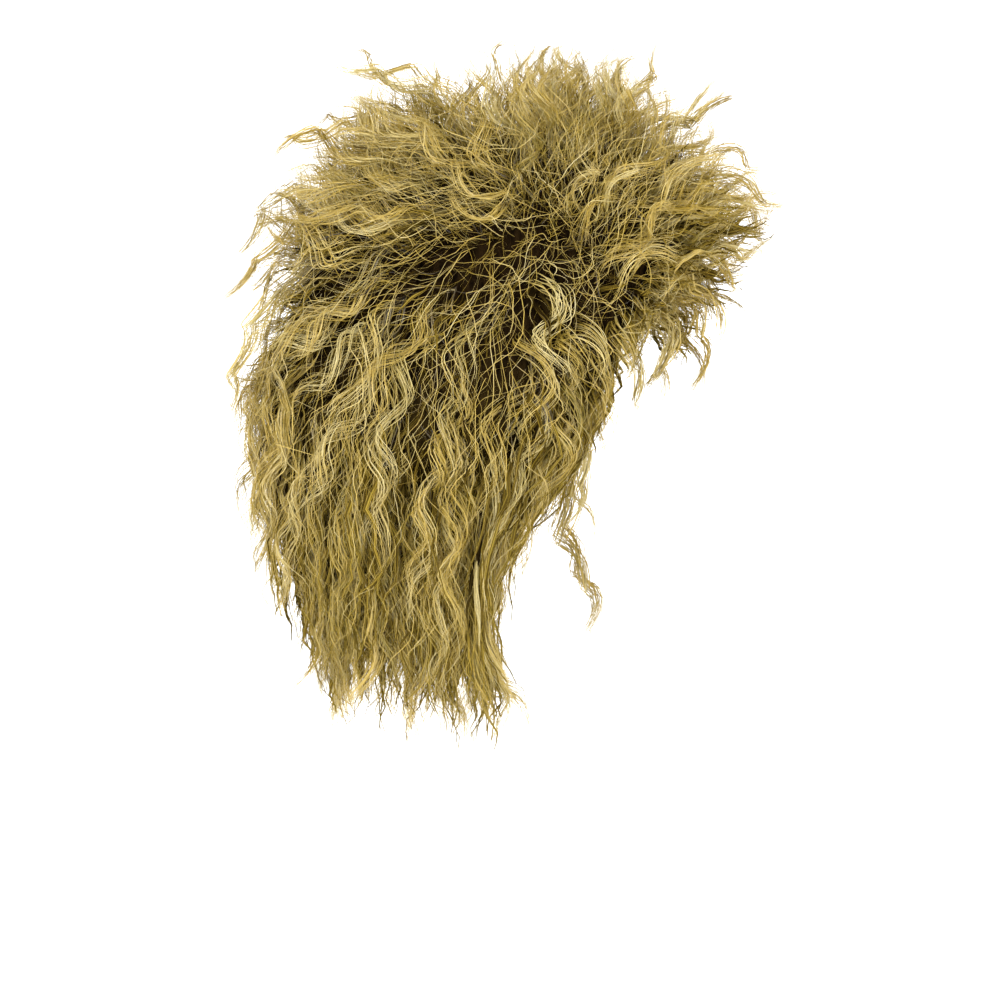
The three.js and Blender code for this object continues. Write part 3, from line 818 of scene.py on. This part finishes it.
def core_piece(rng, bundle, material):
    """The dark body inside the hair of one bundle, coloured as its painted deep shade."""
    points, faces = core_body(rng, bundle)
    made = bmesh.new()
    corners = [made.verts.new(p) for p in points]
    for face in faces:
        made.faces.new([corners[n] for n in face])
    bmesh.ops.delete(made, geom=[v for v in corners if not v.link_faces], context="VERTS")
    bmesh.ops.remove_doubles(made, verts=made.verts, dist=WELD)
    bmesh.ops.dissolve_degenerate(made, edges=made.edges, dist=SLIVER)
    bmesh.ops.recalc_face_normals(made, faces=made.faces)
    name = bundle["name"] + "_core"
    mesh = bpy.data.meshes.new(name)
    made.to_mesh(mesh)
    made.free()
    smooth_shaded(mesh)
    placed_piece(name, mesh, [material], bundle["name"])


def new_material(name):
    material = bpy.data.materials.new(name)
    material.use_nodes = True
    tree = material.node_tree
    shader = tree.nodes["Principled BSDF"]
    for key, value in zip(("Roughness", "Specular IOR Level"), GLOSS[name]):
        shader.inputs[key].default_value = value
    return material, tree, shader


def feed(tree, socket, value):
    """Gives an input its value, or links it to the output that feeds it."""
    if isinstance(value, bpy.types.NodeSocket):
        tree.links.new(value, socket)
    else:
        socket.default_value = value


def add_node(tree, kind, **settings):
    """A new node, with its inputs and properties set by name."""
    made = tree.nodes.new(kind)
    for key, value in settings.items():
        if key in made.inputs:
            feed(tree, made.inputs[key], value)
        else:
            setattr(made, key, value)
    return made


def calculated(tree, operation, first, second, **settings):
    """The output of one operation on two numbers, each of them a value or an output."""
    made = add_node(tree, "ShaderNodeMath", operation=operation, **settings)
    feed(tree, made.inputs[0], first)
    feed(tree, made.inputs[1], second)
    return made.outputs[0]


def blend(tree, factor, first, second):
    """The first colour where the factor is 0, and the second where it is 1."""
    made = add_node(tree, "ShaderNodeMix", data_type="RGBA", Factor=factor)
    feed(tree, made.inputs[MIX_FIRST], first)
    feed(tree, made.inputs[MIX_SECOND], second)
    return made.outputs[MIX_RESULT]


def streaks(tree, place, scale, **settings):
    """Noise, drawn out by a scale for each axis."""
    drawn = add_node(tree, "ShaderNodeMapping", Vector=place, Scale=scale)
    noise = add_node(tree, "ShaderNodeTexNoise", Vector=drawn.outputs["Vector"], Scale=1.0, **settings)
    return noise.outputs["Fac"]


def from_hex(code):
    """A colour written as in a picture editor, in the linear values that a shader wants."""
    parts = [int(code[i : i + 2], 16) / 255 for i in (1, 3, 5)]
    return [v / 12.92 if v <= 0.04045 else ((v + 0.055) / 1.055) ** 2.4 for v in parts]


def colour_ramp(tree, factor, stops):
    made = add_node(tree, "ShaderNodeValToRGB", Fac=factor)
    ramp = made.color_ramp
    while len(ramp.elements) < len(stops):
        ramp.elements.new(0.5)
    for element, (place, code) in zip(ramp.elements, stops):
        element.position = place
        element.color = (*from_hex(code), 1)
    return made.outputs["Color"]


def bumped(tree, shader, height, bump):
    made = add_node(tree, "ShaderNodeBump", Height=height, **bump)
    feed(tree, shader.inputs["Normal"], made.outputs["Normal"])


def on_map(tree):
    """The place on the map, and the tone across it and the shade up it."""
    place = add_node(tree, "ShaderNodeUVMap", uv_map="OFBake").outputs["UV"]
    split = add_node(tree, "ShaderNodeSeparateXYZ", Vector=place)
    return place, split.outputs["X"], split.outputs["Y"]


def toned(tree, tone, shade):
    """Olive fibre where the tone is 0, golden in the middle and pale where it is 1, by its shade."""
    olive, gold, pale = (colour_ramp(tree, shade, ramp) for ramp in (OLIVE_RAMP, GOLD_RAMP, PALE_RAMP))
    low = calculated(tree, "MULTIPLY", tone, 2, use_clamp=True)
    high = calculated(tree, "SUBTRACT", calculated(tree, "MULTIPLY", tone, 2), 1, use_clamp=True)
    return blend(tree, high, blend(tree, low, olive, gold), pale)


def single_material():
    """Crimped synthetic fibre, from dark roots to gold up the map."""
    material, tree, shader = new_material("crimped_fibre")
    place, across, shade = on_map(tree)
    centred = calculated(tree, "SUBTRACT", streaks(tree, place, SINGLE_STREAKS, Detail=1.0), 0.5)
    varied = calculated(tree, "MULTIPLY", centred, SINGLE_VARIETY)
    tone = calculated(tree, "MULTIPLY", across, 1 / SINGLE_MARKS[1])
    tone = calculated(tree, "ADD", tone, varied, use_clamp=True)
    feed(tree, shader.inputs["Base Color"], toned(tree, tone, shade))
    return material


def lined_material():
    """The same fibre drawn as fine lines, with painted shade in the gaps between them, for the broad ribbons.
    """
    material, tree, shader = new_material("lined_fibre")
    place, _, shade = on_map(tree)
    lines = colour_ramp(tree, streaks(tree, place, LINE_STREAKS, Detail=1.0), LINE_RAMP)
    tone = calculated(tree, "MULTIPLY", streaks(tree, place, BROAD_STREAKS, Detail=1.0), BROAD_VARIETY)
    # painted shade beneath the locks: the broad fibres' tone moves towards olive
    tone = calculated(tree, "SUBTRACT", tone, BROAD_SHADE_SHIFT, use_clamp=True)
    # the dark gaps between the lines are painted shade
    colour = blend(tree, lines, colour_ramp(tree, shade, PAINTED_GAP_SHADE_RAMP), toned(tree, tone, shade))
    feed(tree, shader.inputs["Base Color"], colour)
    return material


def shade_body_material():
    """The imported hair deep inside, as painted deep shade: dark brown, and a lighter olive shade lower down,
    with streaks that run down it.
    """
    material, tree, shader = new_material("painted_shade_hair")
    place = tree.nodes.new("ShaderNodeTexCoord").outputs["Object"]
    streaked = streaks(tree, place, CORE_STREAKS, Detail=4.0, Roughness=0.6)
    height = add_node(tree, "ShaderNodeSeparateXYZ", Vector=place).outputs["Z"]
    upper, lower = CORE_HEIGHTS
    low = add_node(tree, "ShaderNodeMapRange", Value=height, **{"From Min": upper, "From Max": lower})
    # painted deep shade: near-black above, and a lighter olive shade lower down
    dark, olive = (colour_ramp(tree, streaked, ramp) for ramp in (CORE_SHADE_NEAR_BLACK, CORE_SHADE_OLIVE))
    feed(tree, shader.inputs["Base Color"], blend(tree, low.outputs["Result"], dark, olive))
    bumped(tree, shader, streaked, CORE_BUMP)
    return material


def cap_material():
    """A knitted stretch net with rows of stitched wefts."""
    material, tree, shader = new_material("knitted_net")
    place = tree.nodes.new("ShaderNodeTexCoord").outputs["Object"]
    knit = add_node(tree, "ShaderNodeTexVoronoi", feature="DISTANCE_TO_EDGE", Vector=place, Scale=KNIT_SCALE)
    net = colour_ramp(tree, knit.outputs["Distance"], KNIT_RAMP)
    rows = add_node(tree, "ShaderNodeTexWave", wave_type="BANDS", bands_direction="Z", Vector=place,
                    Scale=WEFT_SCALE, Distortion=WEFT_WOBBLE)
    band = colour_ramp(tree, rows.outputs["Fac"], WEFT_RAMP)
    weft = (*from_hex(WEFT_COLOUR), 1)
    feed(tree, shader.inputs["Base Color"], blend(tree, band, net, weft))
    bumped(tree, shader, calculated(tree, "ADD", knit.outputs["Distance"], band), CAP_BUMP)
    return material


def backdrop():
    """A pale round floor that curves up into a wall, so that it has no edge from any side."""
    profile = [(FLOOR_HOLE, 0.0), (FLOOR_RADIUS, 0.0)]
    for step in range(1, BEND_STEPS + 1):
        angle = math.radians(90 * step / BEND_STEPS)
        profile.append((FLOOR_RADIUS + FLOOR_BEND * math.sin(angle), FLOOR_BEND * (1 - math.cos(angle))))
    profile.append((FLOOR_RADIUS + FLOOR_BEND, WALL_HEIGHT))
    rings = len(profile)
    verts, faces = [], []
    for turn in range(TURN_STEPS):
        a = 2 * math.pi * turn / TURN_STEPS
        verts += [(r * math.cos(a), r * math.sin(a), FLOOR_HEIGHT + z) for r, z in profile]
        for ring in range(rings - 1):
            here, there = turn * rings + ring, (turn + 1) % TURN_STEPS * rings + ring
            faces.append((here, there, there + 1, here + 1))
    mesh = bpy.data.meshes.new("backdrop")
    mesh.from_pydata(verts, [], faces)
    smooth_shaded(mesh)
    material, _, shader = new_material("pale_backdrop")
    shader.inputs["Base Color"].default_value = (BACKDROP_WHITE, BACKDROP_WHITE, BACKDROP_WHITE, 1)
    shader.inputs["Emission Color"].default_value = (1, 1, 1, 1)
    shader.inputs["Emission Strength"].default_value = BACKDROP_GLOW
    mesh.materials.append(material)
    made = bpy.data.objects.new("backdrop", mesh)
    bpy.context.collection.objects.link(made)


def soft_light(name, place, size, power):
    data = bpy.data.lights.new(name, "AREA")
    data.shape, data.size, data.energy = "DISK", size, power
    made = bpy.data.objects.new(name, data)
    made.location = place
    made.rotation_euler = (Vector(LIGHTS_AIM) - Vector(place)).to_track_quat("-Z", "Y").to_euler()
    bpy.context.collection.objects.link(made)


def studio():
    for name, (place, size, power) in LIGHTS.items():
        soft_light(name, place, size, power)
    world = bpy.data.worlds.new("studio")
    world.use_nodes = True
    background = world.node_tree.nodes["Background"]
    background.inputs["Color"].default_value = (1, 1, 1, 1)
    background.inputs["Strength"].default_value = WORLD_LIGHT
    bpy.context.scene.world = world
    bpy.context.scene.view_settings.view_transform = "Standard"


def camera():
    data = bpy.data.cameras.new("camera")
    data.lens = data.sensor_width * VIEW_DISTANCE / VIEW_WIDTH
    made = bpy.data.objects.new("camera", data)
    rise = math.radians(VIEW_RISE)
    back = Vector((0, -math.cos(rise), math.sin(rise)))
    made.location = Vector(VIEW_CENTRE) + back * VIEW_DISTANCE
    made.rotation_euler = (-back).to_track_quat("-Z", "Y").to_euler()
    bpy.context.collection.objects.link(made)
    bpy.context.scene.camera = made


def dress():
    """The stage, the hair of each bundle with its dark body, and the net of the cap."""
    camera()
    studio()
    backdrop()
    fibres, packed = [single_material(), lined_material()], shade_body_material()
    rough = np.random.default_rng(CORE_SEED)
    for number, bundle in enumerate(BUNDLES):
        hair_piece(number, bundle, fibres)
        core_piece(rough, bundle, packed)
    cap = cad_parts["cap"]
    cap.data.materials.clear()
    cap.data.materials.append(cap_material())


dress()
